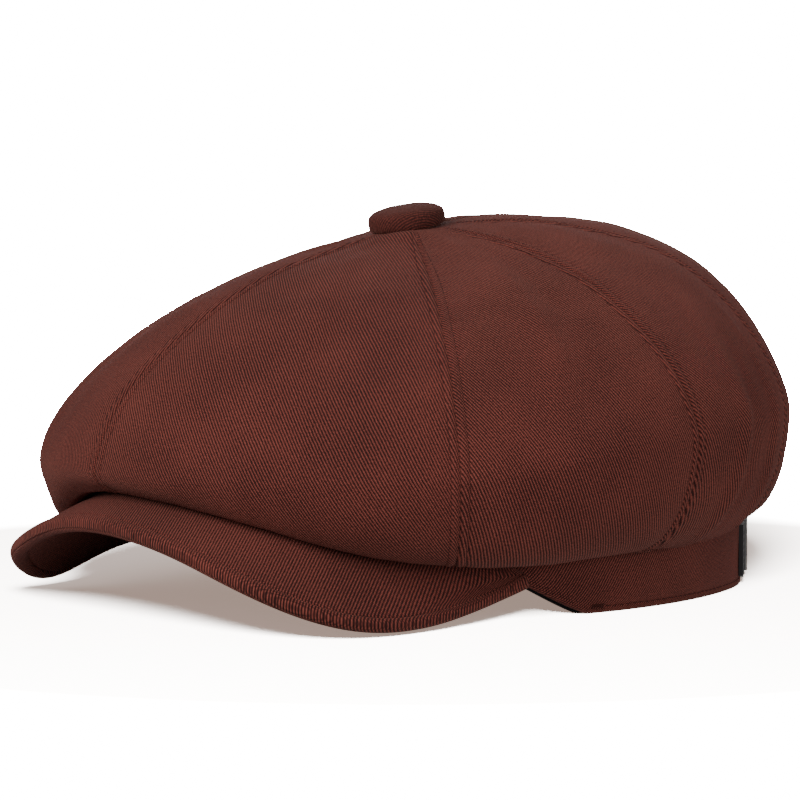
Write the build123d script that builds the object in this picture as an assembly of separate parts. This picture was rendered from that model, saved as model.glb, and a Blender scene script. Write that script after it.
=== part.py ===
from build123d import *
from math import atan2, cos, degrees, hypot, pi, radians, sin, sqrt
import os

# Newsboy cap: eight-panel crown, covered button, curved brim and an adjustable band.
# Millimetres. Front is -Y, the wearer's left is +X, and Z = 0 is the surface it stands on.
# "ahead" below is a distance towards the front, counted from the middle of the whole cap's length.

FRONT_SHIFT = 8.3           # the length's middle, ahead of the lines that the lists below count from

# Layer thicknesses
CLOTH = 1.6
LINING = 0.8
BOARD = 1.2
BRIM_COVER = 1.2
LAYER_GAP = 0.1

# Band: an oval of four arcs round the head
BAND_AHEAD = -10.0          # centre of the oval
END_RADIUS = 74.2           # front and rear arcs
END_OFFSET = 32.8           # their centres, before and behind the oval's centre
END_SWEEP = 60.0            # each end arc reaches this far to either side, in degrees
BAND_HEIGHT = 34.0
FRONT_RISE = 46.0           # how far the lower edge stands up over the forehead
RISE_END = 82.0             # angle from the front at which the lower edge comes down to Z = 0
RISE_POWER = 0.62
OUTER_BAND = (-1.5, 0.0)
INTERLINING = (-3.4, -1.8)
SWEATBAND = (-4.5, -3.7)
INTERLINING_END = 134.0
CORNER_RADIUS = 9.0         # lower corners of the outer band at the rear opening
OPENING_HALF = 40.0         # rear opening, measured round the rear arc in degrees
SIDE_STEPS = 10             # spans of the lower edge's curve, seen from the side
SIDE_REACH = 100.0

# Crown, as values at 0, 45, 90, 135 and 180 degrees from the front round the button's axis
BUTTON_AHEAD = 12.0
APEX_HEIGHT = 125.7
BULGE_RADIUS = (130.0, 121.8, 118.2, 127.6, 143.2)
BULGE_HEIGHT = (49.0, 47.5, 56.0, 62.0, 61.5)
FOLD_RADIUS = (122.0, 108.0, 95.0, 105.5, 134.0)
FOLD_HEIGHT = (42.2, 24.0, 19.5, 21.0, 29.0)
DOME_POWER = (2.2, 1.9, 2.0, 3.05, 3.7)
DOME_ROOT = 0.66
APEX_SLOPE = 0.16           # the top rises towards the rear
TUCK_POWER = 1.5
TUCK_GAP = 0.3
DOME_SHARE = 0.62           # share of a panel's length above the bulge
FOLD_SHARE = 0.84
CROWN_HOLE = 3.0
SEAM_ANGLES = (0.0, 59.5, 105.0, 142.0, 180.0)
SEAM_GAP = 0.05             # degrees, either side of a seam

# Lining: a smaller dome that stands on the band
LINING_DROP = 2.8
LINING_INSET = -2.3
LINING_POWER = 1.8
LINING_ROOT = 0.6
LINING_ANGLES = (0.0, 90.0, 180.0)

# Brim: its outer fold from the front as (ahead, to the side, up). It is bent lower on the left.
BRIM_EDGE = (
    (147.6, 0.0, 32.4),
    (141.0, 48.0, 26.0),
    (126.5, 73.0, 14.0),
    (105.0, 84.0, 5.2),
    (68.0, 84.5, 3.2),
    (27.5, 81.3, 11.5),
)
BRIM_EDGE_RIGHT = (
    (138.0, 48.0, 21.5),
    (125.0, 72.0, 12.5),
    (106.0, 83.5, 5.8),
    (88.0, 84.3, 11.5),
    (68.0, 84.0, 16.5),
    (27.5, 81.3, 15.0),
)
BRIM_SWEEP = 64.0           # angle from the front at which the brim meets the band's side
BRIM_ARCH = 1.0
BRIM_ROOT_LIFT = 2.0
BOARD_INSET = 0.04          # share of the brim's depth that the board stops short of the fold

# Button
BUTTON_RADIUS = 13.1
BUTTON_HEIGHT = 7.0
BUTTON_WAIST = 12.2
BUTTON_FOOT = 0.5
BUTTON_CLOTH = 0.9
BUTTON_SHELL = 0.6
SHANK_RADIUS = 1.6
RIVET_RADIUS = 2.8
WASHER_RADIUS = 8.0
WASHER_LEVELS = (-5.4, -4.7)

# Strap and buckle, on the rear arc: (inner, outer) offsets and angles from the rear centre
STRAP = (-3.25, -1.85)
STRAP_LEVELS = (2.0, 22.0)
STRAP_SPAN = (-50.0, 52.0)
STRAP_TIP_RADIUS = 5.0
WALL_LEVELS = ((0.7, 1.7), (22.3, 23.3))
WALL = (-4.9, 1.6)
WALL_SPAN = (20.5, 38.9)
BASE = (-4.9, -3.8)
BASE_SPAN = (20.5, 31.5)
TAB_BAR_ANGLE = 37.4
TAB_BAR_OFFSET = 0.7
TAB_BAR_RADIUS = 0.9
PIN_ANGLE = 33.4
PIN_OFFSET = 0.2
PIN_RADIUS = 0.8
PIN_CLEARANCE = 0.04
BARREL_RADIUS = 1.5
LEVER_FACE = (              # outer face of the arched lever, as (angle, offset) from its free end
    (18.9, 3.1),
    (20.0, 1.9),
    (22.0, 2.7),
    (24.5, 4.3),
    (27.5, 5.2),
    (30.2, 4.7),
    (32.2, 3.0),
)
LEVER_THICKNESS = 1.1
LEVER_LEVELS = (2.0, 22.0)
TAB_CLOTH = 0.75
TAB_GAP = 0.1
TAB_LEVELS = (3.0, 21.0)
TAB_END = 50.0

REAR_CENTRE = Vector(0, FRONT_SHIFT - BAND_AHEAD + END_OFFSET, 0)


def place(ahead, left, up):
    return Vector(left, FRONT_SHIFT - ahead, up)


def around(values, angle):
    """Cosine series through five values at 0, 45, 90, 135 and 180 degrees."""
    last = len(values) - 1
    total = 0.0
    for k in range(last + 1):
        term = 0.0
        for j, value in enumerate(values):
            weight = 0.5 if j in (0, last) else 1.0
            term += weight * value * cos(k * j * pi / last)
        share = 0.5 if k in (0, last) else 1.0
        total += share * 2 / last * term * cos(k * radians(angle))
    return total


def oval(angle, offset=0.0):
    """Point (ahead, left) of the band's oval in a direction from the oval's centre."""
    side = END_OFFSET / cos(radians(END_SWEEP))
    drop = side * sin(radians(END_SWEEP))
    joint = atan2(
        END_RADIUS * sin(radians(END_SWEEP)),
        END_OFFSET + END_RADIUS * cos(radians(END_SWEEP)),
    )
    turn = radians(abs(angle))
    if turn < joint or turn > pi - joint:
        centre = END_OFFSET if turn < joint else -END_OFFSET
        radius = END_RADIUS + offset
        reach = centre * cos(turn) + sqrt(radius**2 - (centre * sin(turn)) ** 2)
    else:
        radius = END_RADIUS + side + offset
        reach = -drop * sin(turn) + sqrt(radius**2 - (drop * cos(turn)) ** 2)
    left = reach * sin(turn)
    return BAND_AHEAD + reach * cos(turn), left if angle >= 0 else -left


def band_reach(angle, offset=0.0):
    """The oval seen from the button's axis: (reach, angle at the oval's centre)."""
    low, high = 0.0, 180.0
    for _ in range(40):
        middle = (low + high) / 2
        ahead, left = oval(middle, offset)
        if degrees(atan2(left, ahead - BUTTON_AHEAD)) < angle:
            low = middle
        else:
            high = middle
    ahead, left = oval(low, offset)
    return hypot(ahead - BUTTON_AHEAD, left), low


def band_foot(angle):
    """Height of the band's lower edge in a direction from the oval's centre."""
    turn = min(abs(angle) / RISE_END, 1.0)
    return FRONT_RISE * ((1 + cos(pi * turn)) / 2) ** RISE_POWER


def opening_angle(rear_angle):
    """Direction from the oval's centre of a place on the rear arc."""
    ahead = -END_OFFSET - END_RADIUS * cos(radians(rear_angle))
    return degrees(atan2(END_RADIUS * sin(radians(rear_angle)), ahead))


def crown_profile(angle, share):
    """Radius and height of the crown's outer face, from the button to the band."""
    bulge_radius = around(BULGE_RADIUS, angle)
    bulge_height = around(BULGE_HEIGHT, angle)
    fold_radius = around(FOLD_RADIUS, angle)
    fold_height = around(FOLD_HEIGHT, angle)
    if share <= DOME_SHARE:
        start = CROWN_HOLE / bulge_radius
        reach = sin(pi / 2 * share / DOME_SHARE)
        reach = start + (1 - start) * reach
        rise = max(0.0, 1 - reach ** around(DOME_POWER, angle)) ** DOME_ROOT
        slope = APEX_SLOPE * reach * (1 - reach) * bulge_radius * cos(radians(angle))
        return reach * bulge_radius, bulge_height + (APEX_HEIGHT - bulge_height) * rise - slope
    if share <= FOLD_SHARE:
        turn = pi / 2 * (share - DOME_SHARE) / (FOLD_SHARE - DOME_SHARE)
        radius = fold_radius + (bulge_radius - fold_radius) * cos(turn)
        return radius, bulge_height - (bulge_height - fold_height) * sin(turn)
    run = (share - FOLD_SHARE) / (1 - FOLD_SHARE)
    seam_radius, band_angle = band_reach(angle, TUCK_GAP)
    seam_height = band_foot(band_angle) + BAND_HEIGHT
    radius = fold_radius + (seam_radius - fold_radius) * run
    return radius, fold_height + (seam_height - fold_height) * run**TUCK_POWER


def lining_profile(angle, share):
    """Radius and height of the lining's outer face."""
    rim, band_angle = band_reach(angle, LINING_INSET)
    foot = band_foot(band_angle) + BAND_HEIGHT + TUCK_GAP
    start = CROWN_HOLE / rim
    reach = start + (1 - start) * sin(pi / 2 * share)
    rise = max(0.0, 1 - reach**LINING_POWER) ** LINING_ROOT
    slope = APEX_SLOPE * reach * (1 - reach) * rim * cos(radians(angle))
    return reach * rim, foot + (APEX_HEIGHT - LINING_DROP - foot) * rise - slope


def dome_point(profile, angle, share, offset):
    """Point of a profile turned to an angle, moved along the profile's outward normal."""
    step = 0.002
    before = profile(abs(angle), max(0.0, share - step))
    after = profile(abs(angle), min(1.0, share + step))
    run, climb = after[0] - before[0], after[1] - before[1]
    length = hypot(run, climb)
    radius, height = profile(abs(angle), share)
    radius -= offset * climb / length
    height += offset * run / length
    turn = radians(angle)
    return place(BUTTON_AHEAD + radius * cos(turn), radius * sin(turn), height)


def spline_face(point, offset, rows, columns):
    grid = [
        [point(i / rows, j / columns, offset) for j in range(columns + 1)]
        for i in range(rows + 1)
    ]
    return Face.make_surface_from_array_of_points(grid, tol=0.01)


def layer(point, inner, outer, rows, columns):
    """Closed solid between two offsets of a surface point(u, v, offset)."""
    faces = [spline_face(point, offset, rows, columns) for offset in (outer, inner)]
    borders = zip(faces[0].edges(), faces[1].edges())
    sides = [Face.make_surface_from_curves(first, second) for first, second in borders]
    return Solid(Shell([*faces, *sides]))


def dome_panel(profile, start, end, inner, outer, rows, columns):
    def point(u, v, offset):
        angle = start + SEAM_GAP + (end - start - 2 * SEAM_GAP) * v
        return dome_point(profile, angle, u, offset)

    return layer(point, inner, outer, rows, columns)


def band_layer(offsets, end_angle, foot_lift, corner, rows=8, columns=72):
    """Strip round the head. Its lower rear corners may be rounded."""

    def point(u, v, offset):
        height = foot_lift + (BAND_HEIGHT - foot_lift) * u
        rise = min(corner, max(0.0, corner - height))
        cut = corner - sqrt(corner**2 - rise**2)
        reach = end_angle - degrees(cut / END_RADIUS)
        angle = reach * (2 * v - 1)
        ahead, left = oval(angle, offset)
        return place(ahead, left, band_foot(angle) + height)

    return layer(point, *offsets, rows, columns)


def oval_edges(offset, end_angle):
    """The five arcs of the band's oval, from one side of the rear opening to the other."""
    radius = END_RADIUS + offset
    joint = degrees(
        atan2(
            radius * sin(radians(END_SWEEP)),
            END_OFFSET + radius * cos(radians(END_SWEEP)),
        )
    )
    stops = (-end_angle, joint - 180, -joint, joint, 180 - joint, end_angle)
    arcs = []
    for start, end in zip(stops, stops[1:]):
        spots = [place(*oval(angle, offset), 0) for angle in (start, (start + end) / 2, end)]
        arcs.append(Edge.make_three_point_arc(*spots))
    return arcs


def band_side_view():
    """Slab across the cap, cut to the band's lower and upper edges as seen from the side."""
    lower = []
    for step in range(SIDE_STEPS + 1):
        angle = RISE_END * step / SIDE_STEPS
        lower.append((FRONT_SHIFT - oval(angle)[0], band_foot(angle)))
    upper = [(along, height + BAND_HEIGHT) for along, height in lower]
    front, rear = -SIDE_REACH, SIDE_REACH + BAND_HEIGHT
    with BuildSketch(Plane.YZ) as view:
        with BuildLine():
            Spline(*lower)
            Polyline(lower[-1], (rear, 0), (rear, BAND_HEIGHT), upper[-1])
            Spline(*upper)
            Polyline(upper[0], (front, upper[0][1]), (front, lower[0][1]), lower[0])
        make_face()
    return extrude(view.sketch, SIDE_REACH, both=True)


def corner_notch():
    """What is cut away to round the band's lower corner at the rear opening."""
    turn = radians(OPENING_HALF)
    away = Vector(cos(turn), -sin(turn), 0)
    corner = Plane(rear_point(OPENING_HALF, 0), x_dir=away, z_dir=away.cross(Vector(0, 0, 1)))
    arc_middle = CORNER_RADIUS * (1 - cos(pi / 4))
    with BuildSketch(corner) as notch:
        with BuildLine():
            Polyline(
                (0, CORNER_RADIUS),
                (-1, CORNER_RADIUS),
                (-1, -1),
                (CORNER_RADIUS, -1),
                (CORNER_RADIUS, 0),
            )
            ThreePointArc((CORNER_RADIUS, 0), (arc_middle, arc_middle), (0, CORNER_RADIUS))
        make_face()
    return extrude(notch.sketch, CORNER_RADIUS, both=True)


def outer_band():
    """Upright strip that stands on a plane face."""
    rear_end = opening_angle(OPENING_HALF)
    inner, outer = (oval_edges(offset, rear_end) for offset in OUTER_BAND)
    ends = [
        Edge.make_line(inner[0] @ 0, outer[0] @ 0),
        Edge.make_line(inner[-1] @ 1, outer[-1] @ 1),
    ]
    ring = Face(Wire([*outer, *inner, *ends]))
    depth = FRONT_RISE + 2 * BAND_HEIGHT
    strip = Pos(0, 0, -BAND_HEIGHT / 2) * extrude(ring, depth, dir=(0, 0, 1))
    notch = corner_notch()
    return (strip & band_side_view()) - notch - mirror(notch, Plane.YZ)


def brim_surface():
    on_left = [place(ahead, side, up) for ahead, side, up in BRIM_EDGE]
    on_right = [place(ahead, -side, up) for ahead, side, up in BRIM_EDGE_RIGHT]
    fold = Spline(*reversed(on_right), *on_left)

    def point(u, v, offset):
        angle = BRIM_SWEEP * (2 * v - 1)
        ahead, left = oval(angle, TUCK_GAP)
        root = place(ahead, left, band_foot(angle) + BRIM_ROOT_LIFT)
        tip = fold @ v
        spot = root + (tip - root) * u
        arch = BRIM_ARCH * sin(pi * u) * sin(pi * v)
        return spot + Vector(0, 0, arch + offset)

    return point


def brim_layer(inner, outer, reach=1.0):
    surface = brim_surface()
    return layer(lambda u, v, offset: surface(u * reach, v, offset), inner, outer, 8, 40)


def button_frame():
    """Location on the crown's top, tilted with it."""
    tilt = degrees(atan2(APEX_SLOPE, 1))
    return Location(place(BUTTON_AHEAD, 0, APEX_HEIGHT)) * Rotation(tilt, 0, 0)


def button_dome(inset):
    """Half-section of the button's dome, inset from its outer face."""
    radius = BUTTON_RADIUS - inset
    top = BUTTON_HEIGHT - inset
    waist = BUTTON_WAIST - inset
    shoulder = top * 0.42
    with BuildLine(Plane.XZ) as outline:
        Spline(
            (0, top),
            (radius * 0.62, top - 0.5),
            (radius * 0.94, top - 2.0),
            (radius, shoulder),
            (waist, BUTTON_FOOT),
            tangents=((1, 0), (-0.6, -1)),
        )
        Polyline((waist, BUTTON_FOOT), (0, BUTTON_FOOT), (0, top))
    return make_face(outline.edges())


def revolved(section):
    return button_frame() * revolve(section, Axis.Z)


def button_cover():
    return revolved(button_dome(0) - button_dome(BUTTON_CLOTH))


def button_shell():
    inset = BUTTON_CLOTH + LAYER_GAP
    return revolved(button_dome(inset) - button_dome(inset + BUTTON_SHELL))


def button_back():
    """Plate that closes the shell, its shank, and the rivet head inside the crown."""
    plate_radius = BUTTON_WAIST - BUTTON_CLOTH - BUTTON_SHELL - 3 * LAYER_GAP
    shank_end = WASHER_LEVELS[0] - LAYER_GAP
    plate = Pos(0, 0, BUTTON_FOOT + 0.35) * Cylinder(plate_radius, 0.7)
    shank_length = BUTTON_FOOT + 0.2 - shank_end
    shank = Pos(0, 0, shank_end + shank_length / 2) * Cylinder(SHANK_RADIUS, shank_length)
    head = Pos(0, 0, shank_end - 0.4) * Cylinder(RIVET_RADIUS, 0.8)
    return button_frame() * (plate + shank + head)


def button_washer():
    low, high = WASHER_LEVELS
    ring = Cylinder(WASHER_RADIUS, high - low) - Cylinder(SHANK_RADIUS + LAYER_GAP, high - low)
    return button_frame() * (Pos(0, 0, (low + high) / 2) * ring)


def rear_point(angle, offset, level=0.0):
    turn = radians(angle)
    radius = END_RADIUS + offset
    return REAR_CENTRE + Vector(radius * sin(turn), radius * cos(turn), level)


def rear_sector(offsets, span, levels):
    """Piece of a ring round the rear arc's centre."""
    inner, outer = (END_RADIUS + offset for offset in offsets)
    low, high = levels
    start = 90 - span[1]
    sweep = span[1] - span[0]
    with BuildSketch() as section:
        with BuildLine():
            CenterArc((0, 0), outer, start, sweep)
            CenterArc((0, 0), inner, start, sweep)
            Line(
                (inner * cos(radians(start)), inner * sin(radians(start))),
                (outer * cos(radians(start)), outer * sin(radians(start))),
            )
            Line(
                (inner * cos(radians(start + sweep)), inner * sin(radians(start + sweep))),
                (outer * cos(radians(start + sweep)), outer * sin(radians(start + sweep))),
            )
        make_face()
    return Location(REAR_CENTRE + Vector(0, 0, low)) * extrude(section.sketch, high - low)


def rear_rod(angle, offset, radius, levels):
    low, high = levels
    spot = rear_point(angle, offset, (low + high) / 2)
    return Location(spot) * Cylinder(radius, high - low)


def strap():
    """Strap with a rounded free end."""
    body = rear_sector(STRAP, STRAP_SPAN, STRAP_LEVELS)
    middle = (STRAP_LEVELS[0] + STRAP_LEVELS[1]) / 2
    spot = rear_point(STRAP_SPAN[1], STRAP[1])
    tip_edges = [
        edge
        for edge in body.edges()
        if (edge.center() - Vector(spot.X, spot.Y, middle)).length > 9
        and abs(edge.length - (STRAP[1] - STRAP[0])) < 0.01
        and edge.center().X > 0
    ]
    return fillet(tip_edges, STRAP_TIP_RADIUS)


def buckle_frame():
    walls = [rear_sector(WALL, WALL_SPAN, levels) for levels in WALL_LEVELS]
    reach = (WALL_LEVELS[0][0], WALL_LEVELS[1][1])
    base = rear_sector(BASE, BASE_SPAN, reach)
    bar = rear_rod(TAB_BAR_ANGLE, TAB_BAR_OFFSET, TAB_BAR_RADIUS, reach)
    return walls[0] + walls[1] + base + bar - rear_rod(PIN_ANGLE, PIN_OFFSET, PIN_RADIUS, reach)


def buckle_pin():
    reach = (WALL_LEVELS[0][0], WALL_LEVELS[1][1])
    return rear_rod(PIN_ANGLE, PIN_OFFSET, PIN_RADIUS, reach)


def buckle_lever():
    """Arched flap with a lifting lip, on a barrel that turns on the pin."""
    low, high = LEVER_LEVELS
    face = [rear_point(angle, offset, low) for angle, offset in LEVER_FACE]
    face.append(rear_point(PIN_ANGLE, PIN_OFFSET + BARREL_RADIUS, low))
    outer = Spline(*face)
    steps = 24
    back = []
    for step in range(steps + 1):
        inward = (outer % (step / steps)).cross(Vector(0, 0, 1))
        back.append(outer @ (step / steps) + inward * LEVER_THICKNESS)
    inner = Spline(*back)
    ends = [Line(outer @ 0, inner @ 0), Line(outer @ 1, inner @ 1)]
    flap = extrude(make_face([outer, inner, *ends]), high - low, dir=(0, 0, 1))
    barrel = rear_rod(PIN_ANGLE, PIN_OFFSET, BARREL_RADIUS, LEVER_LEVELS)
    bore = rear_rod(PIN_ANGLE, PIN_OFFSET, PIN_RADIUS + PIN_CLEARANCE, LEVER_LEVELS)
    return flap + barrel - bore


def buckle_tab():
    """Folded strip: a loop round the frame's bar and two legs sewn on the band's end."""
    inner = TAB_BAR_RADIUS + TAB_GAP
    loop = rear_rod(TAB_BAR_ANGLE, TAB_BAR_OFFSET, inner + TAB_CLOTH, TAB_LEVELS)
    legs = rear_sector((TAB_GAP, TAB_GAP + 2 * TAB_CLOTH), (TAB_BAR_ANGLE, TAB_END), TAB_LEVELS)
    return loop + legs - rear_rod(TAB_BAR_ANGLE, TAB_BAR_OFFSET, inner, TAB_LEVELS)


def crown_panels():
    panels = {}
    for number in range(1, len(SEAM_ANGLES)):
        start, end = SEAM_ANGLES[number - 1], SEAM_ANGLES[number]
        panels[f"crown_panel_left_{number}"] = dome_panel(
            crown_profile, start, end, -CLOTH, 0, 60, 14
        )
        panels[f"crown_panel_right_{number}"] = dome_panel(
            crown_profile, -end, -start, -CLOTH, 0, 60, 14
        )
    return panels


def lining_panels():
    panels = {}
    for name, start, end in zip(("front", "rear"), LINING_ANGLES, LINING_ANGLES[1:]):
        panels[f"lining_panel_{name}_left"] = dome_panel(
            lining_profile, start, end, -LINING, 0, 24, 20
        )
        panels[f"lining_panel_{name}_right"] = dome_panel(
            lining_profile, -end, -start, -LINING, 0, 24, 20
        )
    return panels


def brim_pieces():
    half_board = BOARD / 2
    cover = half_board + LAYER_GAP
    return {
        "brim_board": brim_layer(-half_board, half_board, 1 - BOARD_INSET),
        "brim_top_cover": brim_layer(cover, cover + BRIM_COVER),
        "brim_under_cover": brim_layer(-cover - BRIM_COVER, -cover),
    }


def band_pieces():
    rear_end = opening_angle(OPENING_HALF)
    return {
        "outer_band": outer_band(),
        "band_interlining": band_layer(INTERLINING, INTERLINING_END, 1.0, 0),
        "sweatband": band_layer(SWEATBAND, rear_end, 0.6, CORNER_RADIUS, rows=16),
    }


def rear_pieces():
    return {
        "strap": strap(),
        "buckle_frame": buckle_frame(),
        "buckle_pin": buckle_pin(),
        "buckle_lever": buckle_lever(),
        "buckle_tab": buckle_tab(),
    }


def button_pieces():
    return {
        "button_cover": button_cover(),
        "button_shell": button_shell(),
        "button_back": button_back(),
        "button_washer": button_washer(),
    }


os.makedirs("parts", exist_ok=True)
for pieces in (
    crown_panels(),
    lining_panels(),
    brim_pieces(),
    band_pieces(),
    rear_pieces(),
    button_pieces(),
):
    for name, solid in pieces.items():
        export_step(solid, f"parts/{name}.step")
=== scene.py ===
import math
import random

import bmesh
import bpy
import numpy as np
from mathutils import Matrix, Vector, noise


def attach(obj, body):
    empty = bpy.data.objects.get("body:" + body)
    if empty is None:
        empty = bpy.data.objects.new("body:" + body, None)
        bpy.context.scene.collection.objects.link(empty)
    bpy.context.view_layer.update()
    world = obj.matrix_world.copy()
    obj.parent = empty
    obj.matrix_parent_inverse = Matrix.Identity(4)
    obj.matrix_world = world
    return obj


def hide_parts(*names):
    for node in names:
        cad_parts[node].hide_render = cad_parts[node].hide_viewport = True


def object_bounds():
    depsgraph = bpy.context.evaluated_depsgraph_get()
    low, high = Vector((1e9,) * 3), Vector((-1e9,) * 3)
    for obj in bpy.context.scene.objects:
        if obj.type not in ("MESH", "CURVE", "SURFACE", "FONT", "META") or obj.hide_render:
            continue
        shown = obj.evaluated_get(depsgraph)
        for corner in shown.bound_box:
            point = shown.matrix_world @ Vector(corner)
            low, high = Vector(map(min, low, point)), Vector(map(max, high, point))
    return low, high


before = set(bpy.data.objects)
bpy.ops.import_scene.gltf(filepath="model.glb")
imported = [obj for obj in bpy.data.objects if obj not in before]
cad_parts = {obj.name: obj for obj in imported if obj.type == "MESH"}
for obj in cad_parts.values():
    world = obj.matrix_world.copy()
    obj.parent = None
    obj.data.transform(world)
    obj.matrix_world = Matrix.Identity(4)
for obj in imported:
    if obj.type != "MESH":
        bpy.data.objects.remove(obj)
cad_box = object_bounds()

# Newsboy cap. Lengths below are millimetres, and every mesh is written in metres.
# Front is -Y and the wearer's left is +X. "ahead" is a distance towards the front.

MM = 0.001
rng = random.Random(7)

# -------- the cap's shape, as in the frame

FRONT_SHIFT = 8.3
BAND_AHEAD = -10.0
END_RADIUS = 74.2
END_OFFSET = 32.8
END_SWEEP = 60.0
BAND_HEIGHT = 34.0
FRONT_RISE = 46.0
RISE_END = 82.0
RISE_POWER = 0.62
OPENING_HALF = 40.0

BUTTON_AHEAD = 12.0
APEX_HEIGHT = 125.7
BULGE_RADIUS = (130.0, 121.8, 118.2, 127.6, 143.2)
BULGE_HEIGHT = (49.0, 47.5, 56.0, 62.0, 61.5)
FOLD_RADIUS = (122.0, 108.0, 95.0, 105.5, 134.0)
FOLD_HEIGHT = (42.2, 24.0, 19.5, 21.0, 29.0)
DOME_POWER = (2.2, 1.9, 2.0, 3.05, 3.7)
DOME_ROOT = 0.66
APEX_SLOPE = 0.16
TUCK_POWER = 1.5
TUCK_GAP = 0.3
DOME_SHARE = 0.62
FOLD_SHARE = 0.84
CROWN_HOLE = 3.0
SEAM_ANGLES = (0.0, 59.5, 105.0, 142.0, 180.0)

LINING_DROP = 2.8
LINING_INSET = -2.3
LINING_POWER = 1.8
LINING_ROOT = 0.6

BRIM_EDGE = (
    (147.6, 0.0, 32.4),
    (141.0, 48.0, 26.0),
    (126.5, 73.0, 14.0),
    (105.0, 84.0, 5.2),
    (68.0, 84.5, 3.2),
    (27.5, 81.3, 11.5),
)
BRIM_EDGE_RIGHT = (
    (138.0, 48.0, 21.5),
    (125.0, 72.0, 12.5),
    (106.0, 83.5, 5.8),
    (88.0, 84.3, 11.5),
    (68.0, 84.0, 16.5),
    (27.5, 81.3, 15.0),
)
BRIM_SWEEP = 64.0
BRIM_ARCH = 1.0
BRIM_ROOT_LIFT = 2.0

STRAP = (-3.25, -1.85)
STRAP_LEVELS = (2.0, 22.0)
STRAP_SPAN = (-50.0, 52.0)
TAB_LEVELS = (3.0, 21.0)
TAB_FACE = 1.62
TAB_ROWS = (43.5, 48.5)

# -------- cloth details

CLOTH = 1.1
STITCH_LINE = 3.1           # topstitching, from its seam
STITCH_PITCH = 3.0
STITCH_LENGTH = 2.35
THREAD_RADIUS = 0.12
RIB_PITCH = 0.95            # twill
RIB_ANGLE = 33.0            # from a panel's centre line


def ahead_to_y(ahead):
    return FRONT_SHIFT - ahead


def around(values, degrees):
    """Cosine series through five values at 0, 45, 90, 135 and 180 degrees."""
    last = len(values) - 1
    turn = np.radians(degrees)
    total = 0.0
    for k in range(last + 1):
        term = sum(
            (0.5 if j in (0, last) else 1.0) * value * math.cos(k * j * math.pi / last)
            for j, value in enumerate(values)
        )
        total = total + (0.5 if k in (0, last) else 1.0) * 2 / last * term * np.cos(k * turn)
    return total


def oval(degrees, offset=0.0):
    """Points (ahead, left) of the band's oval in directions from the oval's centre."""
    side = END_OFFSET / math.cos(math.radians(END_SWEEP))
    drop = side * math.sin(math.radians(END_SWEEP))
    joint = math.atan2(
        END_RADIUS * math.sin(math.radians(END_SWEEP)),
        END_OFFSET + END_RADIUS * math.cos(math.radians(END_SWEEP)),
    )
    turn = np.radians(np.abs(degrees))
    at_end = (turn < joint) | (turn > math.pi - joint)
    centre = np.where(turn < math.pi / 2, END_OFFSET, -END_OFFSET)
    end_root = np.maximum((END_RADIUS + offset) ** 2 - (centre * np.sin(turn)) ** 2, 0)
    side_root = (END_RADIUS + side + offset) ** 2 - (drop * np.cos(turn)) ** 2
    reach = np.where(
        at_end,
        centre * np.cos(turn) + np.sqrt(end_root),
        -drop * np.sin(turn) + np.sqrt(side_root),
    )
    return BAND_AHEAD + reach * np.cos(turn), np.sign(degrees) * reach * np.sin(turn)


def band_reach(degrees, offset=0.0):
    """The oval seen from the button's axis: (reach, angle at the oval's centre)."""
    swept = np.linspace(0, 180, 721)
    ahead, left = oval(swept, offset)
    seen = np.degrees(np.arctan2(left, ahead - BUTTON_AHEAD))
    wanted = np.abs(degrees)
    reach = np.interp(wanted, seen, np.hypot(ahead - BUTTON_AHEAD, left))
    return reach, np.interp(wanted, seen, swept)


def band_foot(degrees):
    turn = np.minimum(np.abs(degrees) / RISE_END, 1.0)
    return FRONT_RISE * ((1 + np.cos(np.pi * turn)) / 2) ** RISE_POWER


def opening_angle(rear_angle):
    turn = math.radians(rear_angle)
    ahead = -END_OFFSET - END_RADIUS * math.cos(turn)
    return math.degrees(math.atan2(END_RADIUS * math.sin(turn), ahead))


def dome_rise(reach, power, root, rim, degrees):
    rise = np.maximum(0.0, 1 - reach**power) ** root
    return rise, APEX_SLOPE * reach * (1 - reach) * rim * np.cos(np.radians(degrees))


def crown_profile(degrees, share):
    """Radius and height of the crown's outer face, from the button to the band."""
    degrees = np.abs(degrees)
    bulge_radius = around(BULGE_RADIUS, degrees)
    bulge_height = around(BULGE_HEIGHT, degrees)
    fold_radius = around(FOLD_RADIUS, degrees)
    fold_height = around(FOLD_HEIGHT, degrees)
    start = CROWN_HOLE / bulge_radius
    reach = start + (1 - start) * np.sin(np.pi / 2 * np.minimum(share / DOME_SHARE, 1.0))
    power = around(DOME_POWER, degrees)
    rise, slope = dome_rise(reach, power, DOME_ROOT, bulge_radius, degrees)
    dome = (reach * bulge_radius, bulge_height + (APEX_HEIGHT - bulge_height) * rise - slope)
    turn = np.pi / 2 * np.clip((share - DOME_SHARE) / (FOLD_SHARE - DOME_SHARE), 0, 1)
    side = (
        fold_radius + (bulge_radius - fold_radius) * np.cos(turn),
        bulge_height - (bulge_height - fold_height) * np.sin(turn),
    )
    run = np.clip((share - FOLD_SHARE) / (1 - FOLD_SHARE), 0, 1)
    seam_radius, band_angle = band_reach(degrees, TUCK_GAP)
    seam_height = band_foot(band_angle) + BAND_HEIGHT
    tuck = (
        fold_radius + (seam_radius - fold_radius) * run,
        fold_height + (seam_height - fold_height) * run**TUCK_POWER,
    )
    on_dome, on_side = share <= DOME_SHARE, share <= FOLD_SHARE
    return tuple(
        np.where(on_dome, dome[i], np.where(on_side, side[i], tuck[i])) for i in range(2)
    )


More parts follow.
